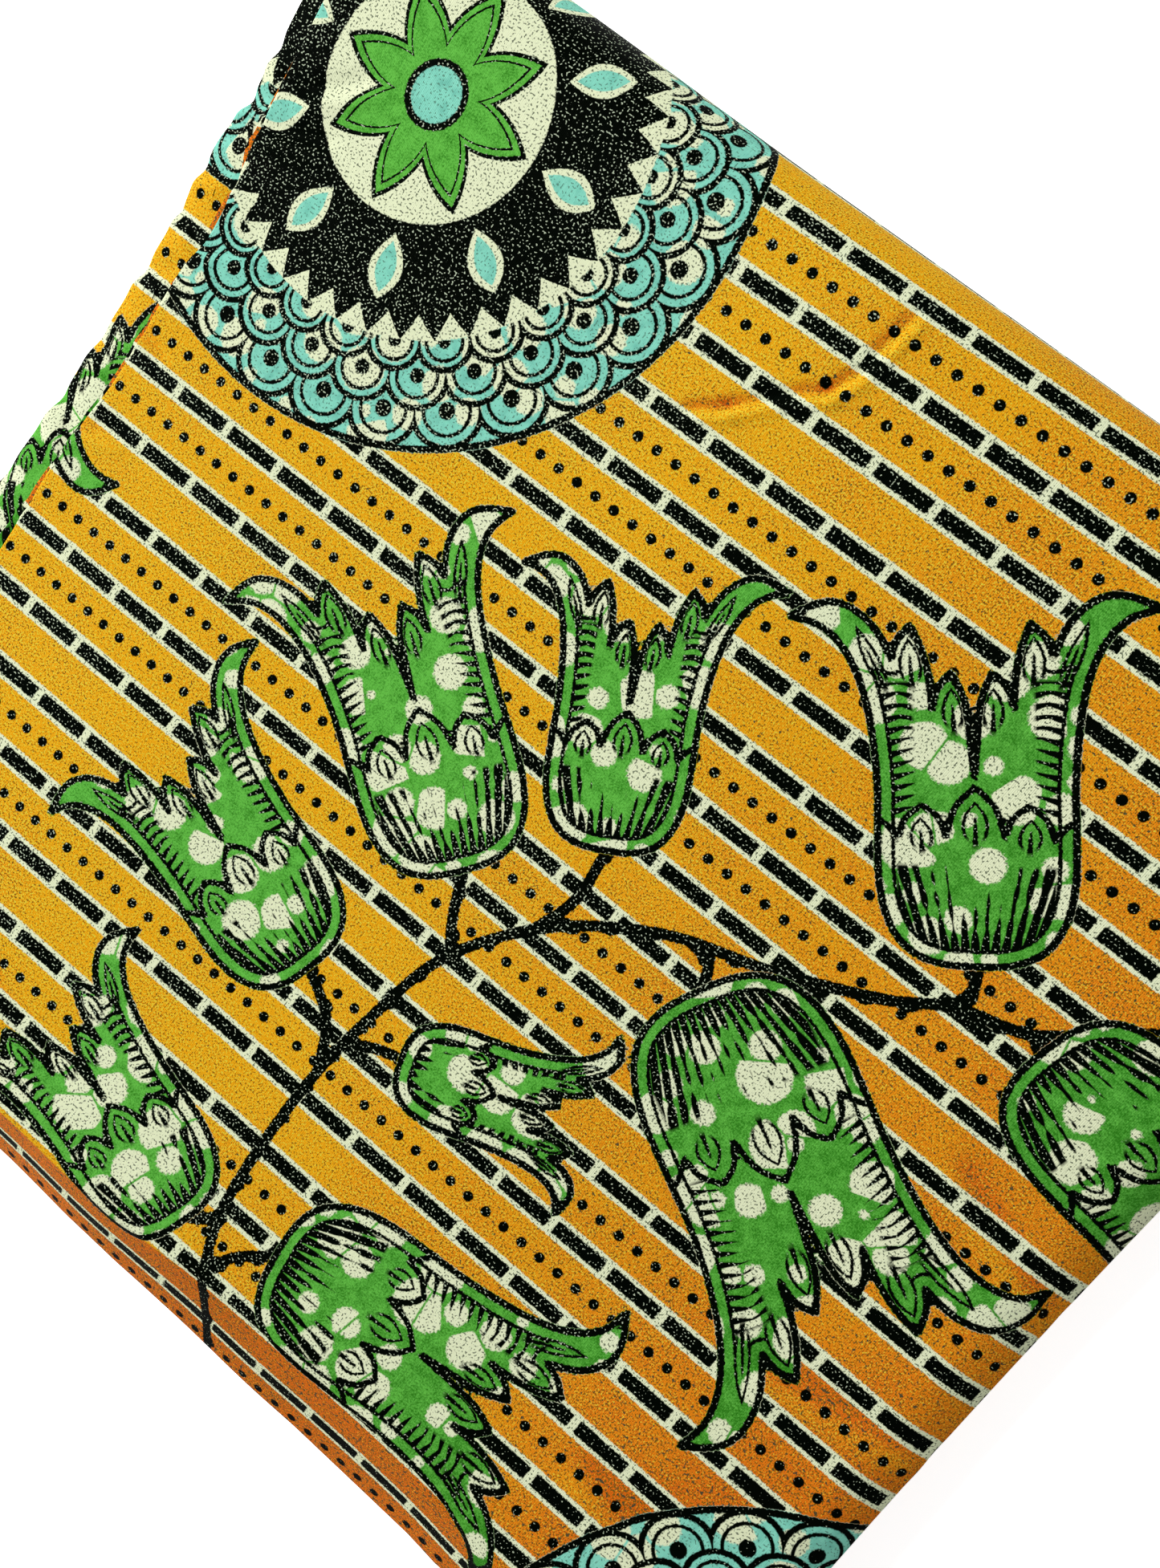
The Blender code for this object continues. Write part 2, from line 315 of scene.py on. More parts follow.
STRIP_DENTS = table(
    ("x", "y", "to_x", "to_y", "depth", "half"),
    (-0.1480, 0.0990, -0.1400, 0.0960, 0.0008, 0.0022),
    (-0.1470, 0.0860, -0.1400, 0.0890, 0.0010, 0.0020),
    (-0.1470, 0.0690, -0.1380, 0.0720, 0.0009, 0.0024),
    (-0.1470, 0.0580, -0.1390, 0.0560, 0.0006, 0.0018),
    (-0.1470, 0.0430, -0.1380, 0.0470, 0.0008, 0.0026),
    (-0.1480, 0.0240, -0.1390, 0.0250, 0.0006, 0.0030),
    (-0.1480, 0.0080, -0.1390, 0.0040, 0.0008, 0.0028),
    (-0.1480, -0.0140, -0.1370, -0.0110, 0.0007, 0.0032),
    (-0.1480, -0.0420, -0.1370, -0.0450, 0.0009, 0.0034),
    (-0.1480, -0.0760, -0.1370, -0.0720, 0.0008, 0.0036),
)
STRIP_DENTS_END = (-0.140, -0.136)
DENT_LIP = {"place": 1.7, "height": 0.7}
DENT_END = 1.6
# Painted shade in the dents: how far to the right of each dent it lies, and how dark it is for each metre of
# depth
DENT_SHADE = {"to_right": 0.0012, "for_each": 700.0}

# Slack in the top: soft swellings, with the size that each spreads over
SWELLINGS = table(
    ("x", "y", "height", "spread"),
    (-0.095, 0.070, 0.0007, 0.030), (-0.040, 0.105, -0.0006, 0.026), (0.010, 0.070, 0.0006, 0.034),
    (0.070, 0.060, -0.0005, 0.028), (0.110, 0.015, 0.0007, 0.024), (0.095, -0.040, -0.0006, 0.022),
    (0.105, -0.085, 0.0007, 0.024), (0.040, -0.060, 0.0005, 0.030), (-0.030, -0.070, -0.0005, 0.028),
    (-0.090, -0.050, 0.0006, 0.032), (-0.060, 0.010, -0.0004, 0.024), (-0.110, -0.110, -0.0005, 0.022),
)

# Folds at the ends: how far each stands out, and the depths of its two plies
OUTER_FOLDS = table(
    ("reach", "top", "bottom"),
    (0.0006, 0.0, 0.0008), (0.0005, 0.00088, 0.0014),
)
SINGLE_FOLD = table(("reach", "top", "bottom"), (0.0010, 0.0, 0.0008))
FOLD_LEG = 0.0060
TURN_STEPS = 6
LEG_SHARES = (0.3, 1.0)

# How far the fold under the outer one shows past it at the left end
SECOND_FOLD_OUT = table(
    ("y", "out"),
    (-0.150, 0.0010), (-0.100, 0.0014), (-0.060, 0.0024), (-0.033, 0.0032), (-0.024, 0.0026),
    (-0.015, 0.0018), (-0.008, 0.0013), (-0.002, 0.0006), (0.004, 0.0010), (0.010, 0.0013),
    (0.025, 0.0013), (0.042, 0.0011), (0.050, 0.0004), (0.057, 0.0015), (0.064, 0.0017), (0.071, 0.0003),
    (0.078, 0.0020), (0.084, 0.0014), (0.095, 0.0007), (0.150, 0.0005),
)
SECOND_FOLD_PRINT = (140.0, 30.0)
SECOND_TURN_PRINT = (129.7, 330.0)
INNER_TURNS_PRINT = (20.0, 45.0)


def fold_columns(folds):
    """Columns of the folds at an edge: how far out, how deep, and the number of the fold."""
    columns = []
    for number, fold in enumerate(folds):
        middle = (fold["top"] + fold["bottom"]) / 2
        half = (fold["bottom"] - fold["top"]) / 2
        if number:
            columns += [(-FOLD_LEG * share, fold["top"], number) for share in reversed(LEG_SHARES)]
        for k in range(0 if number else 1, TURN_STEPS + 1):
            angle = math.pi * k / TURN_STEPS
            columns.append((fold["reach"] * math.sin(angle), middle - half * math.cos(angle), number))
        columns += [(-FOLD_LEG * share, fold["bottom"], number) for share in LEG_SHARES]
    return columns


def with_folds(panel, folds, second_out):
    """Add the folds that turn under at both edges of a panel."""
    square = outward(panel)
    along = unit(np.gradient(panel, axis=1))
    columns = fold_columns(folds)
    ends = []
    for edge, sign in ((0, -1.0), (-1, 1.0)):
        made = []
        for out, depth, number in columns:
            reach = np.full(len(panel), out)
            if number and out >= 0:
                reach += second_out[:, edge]
            made.append(panel[:, edge] + along[:, edge] * sign * reach[:, None] - square[:, edge] * depth)
        ends.append(np.stack(made, axis=1))
    return np.concatenate([ends[0][:, ::-1], panel, ends[1]], axis=1)


def follow_crease(places, panel):
    """Places round the section that let one row of the sheet run along the crease, and that row's number."""
    rows = np.arange(len(places), dtype=float)
    side = (panel[:, 0, 1] < CREASE_MIDDLE[0] + CREASE_WINDOW) & (panel[:, 0, 2] > MIDDLE_HEIGHT)
    past = panel[side, :, 1] - read_table(CREASE, "x", "y", panel[side, :, 0])
    found = np.array([np.interp(0.0, past[:, k], rows[side]) for k in range(past.shape[1])])
    middle = round(found.mean())
    window = 1 - soft_step(0.0, CREASE_ROWS, np.abs(rows - middle))
    moved = rows[:, None] + (found - middle)[None, :] * window[:, None]
    return np.interp(moved, rows, places), middle


def dents_in(x, y, dents):
    """Depth of the dents at many places."""
    depth = np.zeros_like(x)
    for row in dents:
        start = np.array([row["x"], row["y"]])
        side = np.array([row["to_x"], row["to_y"]]) - start
        length = math.hypot(*side)
        share = ((x - start[0]) * side[0] + (y - start[1]) * side[1]) / length ** 2
        past_end = np.maximum(0.0, np.abs(share - 0.5) - 0.5) * length / row["half"] / DENT_END
        beside = ((x - start[0]) * side[1] - (y - start[1]) * side[0]) / length / row["half"]
        trough = np.exp(-beside ** 2) - DENT_LIP["height"] * np.exp(-(beside - DENT_LIP["place"]) ** 2)
        depth += row["depth"] * trough * np.exp(-past_end ** 2)
    return depth


def run_lengths(points, axis):
    """Lengths from the first point of every row or column of a grid."""
    steps = np.linalg.norm(np.diff(points, axis=axis), axis=-1)
    return np.cumsum(np.insert(steps, 0, 0.0, axis=axis), axis=axis)


def pressed(panel, crease_row, dents):
    """The outer turn's panel with its crease, dents and slack."""
    x, y, z = panel[..., 0], panel[..., 1], panel[..., 2]
    from_crease = run_lengths(panel, 0)
    from_crease = from_crease - from_crease[crease_row]
    tuck = np.exp(-np.abs(from_crease) / CREASE_HALF)
    tuck -= LIP["height"] * np.exp(-((from_crease - LIP["place"]) / LIP["half"]) ** 2)
    lift = -read_table(CREASE, "x", "sink", x) * tuck
    for row in SWELLINGS:
        lift += row["height"] * np.exp(-((x - row["x"]) ** 2 + (y - row["y"]) ** 2) / row["spread"] ** 2)
    lift -= dents_in(x, y, dents)
    lift *= soft_step(*UPPER_HALF, z)
    return panel + outward(panel) * lift[..., None]


def lengths_on_cloth(points):
    """Places on the flat cloth in millimetres, along the stripes and across them."""
    along, across = run_lengths(points, 1), run_lengths(points, 0)
    middle_row = points[:, points.shape[1] // 2]
    top = np.where(middle_row[:, 2] > MIDDLE_HEIGHT / 2)[0]
    row = top[np.argmin(np.abs(middle_row[top, 1]))]
    start = np.argmin(np.abs(points[row, :, 0]))
    along += points[:, start:start + 1, 0] - along[:, start:start + 1]
    across += points[row:row + 1, :, 1] - across[row:row + 1]
    return along * 1000, across * 1000


# Motifs of the print, all drawn in halves that are mirrored: places in shares of a flower's length
TULIP = table(
    ("across", "along", "corner"),
    (0.000, 0.000, 0), (0.095, 0.007, 0), (0.172, 0.044, 0), (0.222, 0.118, 0), (0.245, 0.220, 0),
    (0.248, 0.345, 0), (0.246, 0.465, 0), (0.252, 0.580, 0), (0.266, 0.690, 0), (0.292, 0.790, 0),
    (0.332, 0.866, 0), (0.384, 0.914, 0), (0.455, 0.938, 1), (0.398, 0.964, 0), (0.344, 0.974, 0),
    (0.288, 0.952, 0), (0.236, 0.898, 0), (0.200, 0.820, 1), (0.184, 0.868, 0), (0.148, 0.908, 1),
    (0.120, 0.835, 0), (0.106, 0.760, 0), (0.102, 0.685, 1), (0.086, 0.742, 0), (0.050, 0.782, 1),
    (0.020, 0.705, 0), (0.008, 0.600, 0), (0.000, 0.505, 1),
)
BOWL = table(
    ("across", "along", "corner"),
    (0.000, -0.150, 1), (0.360, -0.150, 1), (0.360, 0.400, 1), (0.248, 0.392, 0), (0.194, 0.340, 1),
    (0.178, 0.392, 0), (0.134, 0.432, 1), (0.094, 0.398, 0), (0.074, 0.345, 1), (0.050, 0.425, 0),
    (0.000, 0.480, 1),
)
TULIPS = table(
    ("along", "across", "turn", "length", "width", "lean"),
    (-3.9, -17.3, 142.7, 76.0, 1.00, 0.05),
    (18.1, 6.2, 119.7, 62.0, 1.00, -0.04),
    (90.9, 35.5, 128.0, 75.0, 1.02, 0.03),
    (111.4, 30.7, -10.0, 72.0, 1.05, 0.04),
    (51.6, -4.6, -25.5, 90.0, 1.02, -0.05),
    (-17.7, -55.9, 166.0, 69.0, 1.00, -0.05),
    (11.1, -58.1, 18.0, 46.0, 0.98, 0.06),
    (-4.8, -118.4, 162.5, 64.0, 1.01, 0.05),
    (16.3, -109.2, 8.2, 76.0, 1.03, -0.06),
    (-181.4, 41.5, -60.0, 70.0, 1.00, 0.00),
)
WAYS = ("along", "across")
STEMS = (
    table(WAYS, (16.0, -150.0), (11.0, -135.0), (6.6, -124.0), (0.3, -108.6), (-2.0, -78.4), (0.4, -53.4),
          (5.3, -33.4), (19.4, -13.8), (39.1, 0.4), (60.5, 8.5), (81.3, 18.6), (93.1, 26.6), (108.2, 32.3),
          (125.4, 47.4), (150.0, 60.0)),
    table(WAYS, (5.3, -33.4), (0.5, -26.0), (-3.9, -16.0)),
    table(WAYS, (16.5, -16.5), (19.5, -6.0), (18.1, 8.0)),
    table(WAYS, (92.0, 26.0), (93.5, 31.0), (90.9, 37.0)),
    table(WAYS, (44.0, 2.5), (49.5, 1.5), (52.6, -5.6)),
    table(WAYS, (-2.0, -72.0), (-8.0, -62.0), (-19.0, -55.5)),
    table(WAYS, (-1.0, -64.0), (4.5, -60.5), (12.5, -57.5)),
    table(WAYS, (1.2, -111.5), (-1.5, -115.0), (-6.0, -117.5)),
    table(WAYS, (6.6, -124.0), (9.5, -116.5), (18.0, -109.0)),
    table(WAYS, (106.0, 31.6), (108.5, 31.6), (113.0, 30.5)),
)
STEM_HALF = 1.25
THORN = {"spacing": 9.0, "height": 0.9, "length": 1.6}
ROSETTES = table(
    ("along", "across"),
    (-107.0, 109.7), (172.4, -140.2), (-102.0, -236.0), (155.0, 230.0), (-12.0, 472.0),
)
GROUP_SHIFTS = ((0.0, 0.0), (15.0, -300.0), (-15.0, 300.0))
OUTLINE_STEPS = 5
STEM_STEPS = 6
FAR = 9.0
DEEPEST = -40.0
FLOWER_BOX = {"side": 0.62, "under": -0.12, "over": 1.12}


# Painted shade in the dyes towards the right end and its lower corner, down the creased side and in the left
# folds' crevice, and how the dyes deepen in soft clouds
PAINTED_SHADE_AND_CLOUDS = {
    "right": (-0.050, 0.150), "at right": 0.66,
    "corner x": (0.060, 0.150), "corner y": (-0.020, -0.130), "at corner": 0.70,
    "side": 1.15, "fold": 1.20, "clouds": 1.1, "patches": 0.35, "shaded": 0.9,
}


def mirrored(rows):
    """A half outline and its mirror image, as one closed list of rows."""
    other = [{**row, "across": -row["across"]} for row in reversed(rows) if row["across"]]
    return list(rows) + other


def smooth_outline(rows):
    """A closed outline through a table's rows, smooth between the corners."""
    first = next(k for k, row in enumerate(rows) if row["corner"])
    rows = list(rows[first:]) + list(rows[:first + 1])
    corners = [k for k, row in enumerate(rows) if row["corner"]]
    points = []
    for start, end in zip(corners, corners[1:]):
        run = rows[start:end + 1]
        spots = np.arange(len(run), dtype=float)
        places = np.linspace(0, len(run) - 1, (len(run) - 1) * OUTLINE_STEPS + 1)[:-1]
        across = curve_through(spots, column(run, "across"), places)
        along = curve_through(spots, column(run, "along"), places)
        points.append(np.stack([across, along], axis=-1))
    return np.concatenate(points)


def outline_distance(spots, outline):
    """Distance of many spots from a closed outline, counted as less than nought inside it."""
    nearest = np.full(len(spots), np.inf)
    inside = np.zeros(len(spots), dtype=bool)
    for start, end in zip(outline, np.roll(outline, -1, axis=0)):
        side = end - start
        share = np.clip((spots - start) @ side / (side @ side), 0, 1)
        gap = spots - start - share[:, None] * side
        nearest = np.minimum(nearest, np.hypot(gap[:, 0], gap[:, 1]))
        spans = (start[1] > spots[:, 1]) != (end[1] > spots[:, 1])
        if spans.any():
            inside ^= spans & (spots[:, 0] < start[0] + (spots[:, 1] - start[1]) * side[0] / side[1])
    return np.where(inside, -nearest, nearest)


def flower_places(along, across):
    """Places in the nearest flower, and the distances from its outline and its bowl."""
    tulip = smooth_outline(mirrored(TULIP))
    bowl = smooth_outline(mirrored(BOWL))
    places = np.zeros(along.shape + (3,))
    edges = np.full(along.shape + (2,), FAR)
    for shift_along, shift_across in GROUP_SHIFTS:
        for row in TULIPS:
            turn, size = math.radians(row["turn"]), row["length"]
            x = along - row["along"] - shift_along
            y = across - row["across"] - shift_across
            up = (x * math.cos(turn) + y * math.sin(turn)) / size
            side = (y * math.cos(turn) - x * math.sin(turn)) / size / row["width"]
            side = side - row["lean"] * up ** 2
            near = (np.abs(side) < FLOWER_BOX["side"]) & (up > FLOWER_BOX["under"])
            near &= up < FLOWER_BOX["over"]
            spots = np.stack([side[near], up[near]], axis=-1)
            if not len(spots):
                continue
            edge = outline_distance(spots, tulip) * size
            closest = edge < edges[near][:, 0]
            chosen = near.copy()
            chosen[near] = closest
            spots, edge = spots[closest], edge[closest]
            places[chosen] = np.stack([spots[:, 0] * size, spots[:, 1] * size, np.full(len(edge), size)], -1)
            inner = [edge, outline_distance(spots, bowl) * size]
            edges[chosen] = np.clip(np.stack(inner, -1), DEEPEST, FAR)
    return places, edges


def stem_distance(along, across):
    """Distance from the edge of the nearest stem, with its thorns."""
    nearest = np.full(along.shape, FAR)
    for stem in STEMS:
        spots = np.arange(len(stem), dtype=float)
        fine = np.linspace(0, len(stem) - 1, (len(stem) - 1) * STEM_STEPS + 1)
        ways = [curve_through(spots, column(stem, way), fine) for way in WAYS]
        line = np.stack(ways, axis=-1)
        passed = 0.0
        for shift in GROUP_SHIFTS:
            for start, end in zip(line + shift, line[1:] + shift):
                side = end - start
                length = math.hypot(*side)
                x, y = along - start[0], across - start[1]
                share = np.clip((x * side[0] + y * side[1]) / length ** 2, 0, 1)
                gap = np.hypot(x - share * side[0], y - share * side[1])
                from_thorn = (passed + share * length) % THORN["spacing"] - THORN["spacing"] / 2
                right = (x * side[1] - y * side[0] > 0) * THORN["height"]
                half = STEM_HALF + right * np.exp(-(from_thorn / THORN["length"] * 2) ** 2)
                nearest = np.minimum(nearest, gap - half)
                passed += length
    return nearest


def rosette_places(along, across):
    """Places from the middle of the nearest rosette, and the distance from it."""
    x = np.stack([along - row["along"] for row in ROSETTES])
    y = np.stack([across - row["across"] for row in ROSETTES])
    nearest = np.argmin(np.hypot(x, y), axis=0)[None]
    x = np.take_along_axis(x, nearest, 0)[0]
    y = np.take_along_axis(y, nearest, 0)[0]
    return x, y, np.hypot(x, y)


def add_object(name, data):
    """A new object in the scene."""
    made = bpy.data.objects.new(name, data)
    bpy.context.scene.collection.objects.link(made)
    return made


def add_grid(name, columns, rows, half):
    """A flat square grid as a piece of its own."""
    sheet = bmesh.new()
    bmesh.ops.create_grid(sheet, x_segments=columns, y_segments=rows, size=half)
    mesh = bpy.data.meshes.new(name)
    sheet.to_mesh(mesh)
    sheet.free()
    return add_object(name, mesh)


def make_cloth(name, points, along, across, deep):
    """A sheet of cloth with its points put in place, and its print's places and its painted shade kept on it.
    """
    rows, columns = points.shape[0] - 1, points.shape[1] - 1
    piece = add_grid(name, columns, rows, 0.5)
    mesh = piece.data
    flat = np.empty(len(mesh.vertices) * 3, dtype=np.float32)
    mesh.vertices.foreach_get("co", flat)
    flat = flat.reshape(-1, 3)
    at_column = np.rint((flat[:, 0] + 0.5) * columns).astype(int)
    at_row = np.rint((flat[:, 1] + 0.5) * rows).astype(int)
    placed = points[at_row, at_column] - (*MIDDLE_OF_OUTLINE, 0.0)
    mesh.vertices.foreach_set("co", placed.astype(np.float32).ravel())
    flower, edges = flower_places(along, across)
    rosette_x, rosette_y, reach = rosette_places(along, across)
    kept = {
        "cloth": np.stack([along, across, deep], axis=-1),
        "flower": flower,
        "edges": np.concatenate([edges, stem_distance(along, across)[..., None]], axis=-1),
        "rosette": np.stack([rosette_x, rosette_y, reach], axis=-1),
    }
    for word, values in kept.items():
        layer = mesh.attributes.new(word, "FLOAT_VECTOR", "POINT")
        layer.data.foreach_set("vector", values[at_row, at_column].astype(np.float32).ravel())
    mesh.shade_smooth()
    mesh.update()
    return piece


def painted_shade_at_right(points):
    """Painted shade in the dyes: more towards the right end, which turns away from the light, and most at its
    lower corner.
    """
    x, y = points[..., 0], points[..., 1]
    right = soft_step(*PAINTED_SHADE_AND_CLOUDS["right"], x)
    corner = soft_step(*PAINTED_SHADE_AND_CLOUDS["corner x"], x) * soft_step(*PAINTED_SHADE_AND_CLOUDS["corner y"], y)
    return PAINTED_SHADE_AND_CLOUDS["at right"] * right + PAINTED_SHADE_AND_CLOUDS["at corner"] * corner


def make_outer_turn():
    """The last turn, whose folded edge lies a little in from the left end."""
    places = round_places(FINE_STEP, COARSE_STEP)
    across = np.linspace(0, 1, PANEL_COLUMNS + 1)[None, :]
    inset = OUTER_FOLDS[0]["reach"]
    panel = bundle_surface(OUTER_LEFT_EDGE, inset, across, places[:, None])
    places, crease_row = follow_crease(places, panel)
    panel = bundle_surface(OUTER_LEFT_EDGE, inset, across, places)
    second_out = np.zeros((len(panel), 2))
    second_out[:, 0] = read_table(SECOND_FOLD_OUT, "y", "out", panel[:, 0, 1])
    smooth = with_folds(pressed(panel, crease_row, ()), OUTER_FOLDS, second_out)
    points = with_folds(pressed(panel, crease_row, DENTS), OUTER_FOLDS, second_out)
    along, across = lengths_on_cloth(smooth)
    inner_columns = sum(number for _, _, number in fold_columns(OUTER_FOLDS))
    # Painted shade towards the right end and its lower corner
    deep = painted_shade_at_right(points)
    # Painted shade in the dents, set a little to their right
    deep += dents_in(points[..., 0] + DENT_SHADE["to_right"], points[..., 1], DENTS) * DENT_SHADE["for_each"]
    # Painted shade down the creased side, which faces away from the light
    deep[:crease_row] = np.maximum(deep[:crease_row], PAINTED_SHADE_AND_CLOUDS["side"])
    # Painted shade in the crevice of the folded edges at the left end
    deep[:, :inner_columns + 1] += PAINTED_SHADE_AND_CLOUDS["fold"]
    along[:, :inner_columns] += SECOND_FOLD_PRINT[0]
    across[:, :inner_columns] += SECOND_FOLD_PRINT[1]
    return make_cloth("outer_turn_cloth", points, along, across, deep)


def make_second_turn():
    """The turn under the outer one, which stands out at the left end."""
    places = round_places(FINE_STEP, COARSE_STEP)
    fine = np.linspace(0, SECOND_FINE_SHARE, SECOND_FINE_COLUMNS)
    coarse = np.linspace(SECOND_FINE_SHARE, 1, SECOND_COARSE_COLUMNS + 1)
    across = np.concatenate([fine, coarse[1:]])[None, :]
    panel = bundle_surface(SECOND_LEFT_EDGE, SINGLE_FOLD[0]["reach"], across, places[:, None])
    x, y, z = panel[..., 0], panel[..., 1], panel[..., 2]
    depth = dents_in(x, y, STRIP_DENTS) * soft_step(*UPPER_HALF, z)
    square = outward(panel)
    smooth = panel - square * TURN_STEP
    dented = smooth - square * (depth * (1 - soft_step(*STRIP_DENTS_END, x)))[..., None]
    flat_ends = np.zeros((len(panel), 2))
    points = with_folds(dented, SINGLE_FOLD, flat_ends)
    along, across = lengths_on_cloth(with_folds(smooth, SINGLE_FOLD, flat_ends))
    along += SECOND_TURN_PRINT[0]
    across += SECOND_TURN_PRINT[1]
    # Painted shade towards the right end and its lower corner
    return make_cloth("second_turn_cloth", points, along, across, painted_shade_at_right(points))


def inner_stations():
    """Columns of the inner turns: at which end, how far out, and how closed towards the middle."""
    folds = 2 * INNER_TURN_COUNT
    step = CORE_CLOSING / folds
    ply = step * INNER_PLY_SHARE
    stations = []
    for number in range(folds):
        middle = step * (number + 0.5)
        out = INNER_FOLD_OUT[number % len(INNER_FOLD_OUT)]
        stations.append({"out": out - INNER_LEG, "closing": middle - ply, "fold": number})
        for k in range(INNER_TURN_STEPS + 1):
            angle = math.pi * k / INNER_TURN_STEPS
            reach = INNER_REACH * (math.sin(angle) - 1)
            closing = middle - ply * math.cos(angle)
            stations.append({"out": out + reach, "closing": closing, "fold": number})
        stations.append({"out": out - INNER_LEG, "closing": middle + ply, "fold": number})
    return stations


def inner_ring(place, at_left, out, closing, wander):
    """Points of one loop of the inner turns, moved in from the bundle's surface."""
    def x_from_y(y):
        left = read_table(SECOND_LEFT_EDGE, "y", "x", y) + LEFT_SET_BACK - out - wander
        right = read_table(RIGHT_EDGE, "y", "x", y) - RIGHT_SET_BACK + out + wander
        return np.where(at_left, left, right)

    x, y, z = surface_points(place, x_from_y)
    ahead_y, ahead_z = section_point(x, place + SLOPE_STEP)
    behind_y, behind_z = section_point(x, place - SLOPE_STEP)
    run, lift = ahead_y - behind_y, ahead_z - behind_z
    length = np.hypot(run, lift)
    y = y + lift / length * 2 * TURN_STEP
    z = z - run / length * 2 * TURN_STEP
    low = read_table(CREASED_SIDE, "x", "y", x) + MIDLINE_MARGIN
    high = read_table(ROLLED_SIDE, "x", "y", x) - MIDLINE_MARGIN
    middle_y = np.clip(y, low, high)
    middle_z = top_height(x, middle_y) / 2
    return np.stack([x, y + (middle_y - y) * closing, z + (middle_z - z) * closing], axis=-1)


def make_inner_turns():
    """The eight turns inside, whose folded edges fill both ends."""
    places = round_places(INNER_STEP, INNER_STEP)
    stations = inner_stations()
    order = [(True, station) for station in reversed(stations)] + [(False, station) for station in stations]
    columns = []
    for at_left, station in order:
        waves = [np.sin(places * row["round"] + station["fold"] * row["fold"]) for row in INNER_WAVES]
        wander = sum(waves) * INNER_WANDER
        columns.append(inner_ring(places, at_left, station["out"], station["closing"], wander))
    points = np.stack(columns, axis=1)
    along, across = lengths_on_cloth(points)
    across += np.array([station["fold"] // 2 for _, station in order])[None, :] * INNER_PRINT_STEP
    along += INNER_TURNS_PRINT[0]
    across += INNER_TURNS_PRINT[1]
    # Painted shade towards the right end and its lower corner
    return make_cloth("inner_turns_cloth", points, along, across, painted_shade_at_right(points))


# Print, in millimetres on the flat cloth
EDGE_BLUR = 0.22
RAGGED = 0.7
OUTLINE_HALF = 0.78
INNER_LINE_HALF = OUTLINE_HALF * 0.85
THIN_HALF = 0.42

# Striped ground
REPEAT = 15.0
START_ALONG = 8.1
START_ACROSS = -0.26
LINE_HALF = 2.55
DASH_HALF = 1.6
DASH_GAP = 0.9
DASH_CORNER = 0.5
DOT_RADIUS = 1.18
DOTS_IN_REPEAT = 3
ROWS_IN_GROUP = 3.0
DOTTED_ROWS = 2.0

# Flowers: sides and heights are shares of a flower's length
SHARE_BLUR = 0.01
RIM = {"depth": 3.0, "to up": 0.80, "foot": 0.17}
COMB = {
    "step": 2.3, "half": 0.58, "widest": 1.35, "slant": 0.30, "shortest": 2.2, "more": 4.0,
    "from up": 0.40, "to up": 0.76, "from side": 0.15,
}
BASE = {
    "step": 2.1, "half": 0.52, "widest": 2.0, "spread from": 0.40, "spread at": 0.50,
    "shortest": 0.0002, "more": 0.0030, "to side": 0.20, "to up": 0.27,
}

# Small nested strokes in every lobe: middles, sizes and lean in shares of a flower's length
MARKS = table(
    ("across", "along", "lean", "half length", "half width"),
    (0.000, 0.375, 0.00, 0.062, 0.030),
    (0.136, 0.345, 0.05, 0.048, 0.026),
    (0.152, 0.800, 0.04, 0.068, 0.026),
    (0.050, 0.675, 0.04, 0.062, 0.024),
    (0.246, 0.810, 0.40, 0.090, 0.018),
)
MARK = {
    "half": 0.36, "taper": 0.3, "from blur": 0.3, "to blur": 0.1,
    "arch from": -0.6, "middle from": -0.9, "middle to": 0.4,
}

# Round spots and the paler veins between them
SPOTS = {
    "scale": 0.105, "least": 0.04, "more": 0.64, "ragged": 0.15, "blur": 0.05,
    "vein": 0.026, "vein ragged": 0.05, "vein blur": 0.03,
}

# Rosette, from the outside in
ROSETTE_OUT = 73.0
TOOTH = {"middle": 47.5, "height": 5.5, "count": 40}
LEAF = {"middle": 36.0, "half length": 7.0, "half width": 3.9, "rim": 1.6, "count": 10}
DISC_OUT = 27.0
STAR = {"out": 24.0, "in": 13.0, "rim": 3.2, "points": 8}
EYE_OUT = 6.5
SCALE_ROWS = table(
    ("middle", "shift"),
    (50.5, 0.0),
    (57.5, 0.5),
    (65.0, 0.0),
)
SCALE = {"count": 28, "reach": 0.53, "inner line": 0.17, "eye": 0.40}

# Dyes
ORANGE = (0.74, 0.34, 0.007, 1.0)
# Deeper orange for painted shade and the dyes' clouds, and darker orange where the painted shade is deepest
SHADE_AND_CLOUD_ORANGE = (0.70, 0.145, 0.008, 1.0)
SHADED_ORANGE = (0.58, 0.095, 0.002, 1.0)
CREAM = (0.715, 0.765, 0.51, 1.0)
BLACK = (0.0008, 0.0018, 0.0008, 1.0)
TEAL = (0.22, 0.62, 0.48, 1.0)
DEEP_TEAL = (0.12, 0.42, 0.33, 1.0)
LIGHT_GREEN = (0.12, 0.46, 0.06, 1.0)
DEEP_GREEN = (0.030, 0.20, 0.012, 1.0)
# Pale painted glints on the black threads
PALE_GLINT = (0.50, 0.58, 0.42, 1.0)
DARK_SPECK = (0.035, 0.055, 0.03, 1.0)
OLIVE = (0.17, 0.10, 0.010, 1.0)
# Yellow painted glints on the orange threads
YELLOW_GLINT = (0.64, 0.60, 0.05, 1.0)

# How the greens and the teals change over the cloth, and how far painted shade darkens the greens
GREENS = {"patches": 1.6, "fine": 2.4, "least": 0.7, "deep": 0.55}
TEALS = {"from": 0.45, "patches": 2.5}

# Noises: waves in a millimetre, number of finer ones and how strong those are
NOISES = named(
    ("Scale", "Detail", "Roughness"),
    ("specks", 2.1, 0.0, 0.5),
    ("fine", 2.3, 1.0, 0.6),
    ("coarse", 1.1, 1.0, 0.5),
    ("patches", 0.35, 2.0, 0.5),
    ("clouds", 0.03, 3.0, 0.6),
    ("grain", 1.5, 1.0, 0.5),
    ("lengths", 0.30, 0.0, 0.5),
    ("slubs", 1.0, 1.0, 0.5),
)
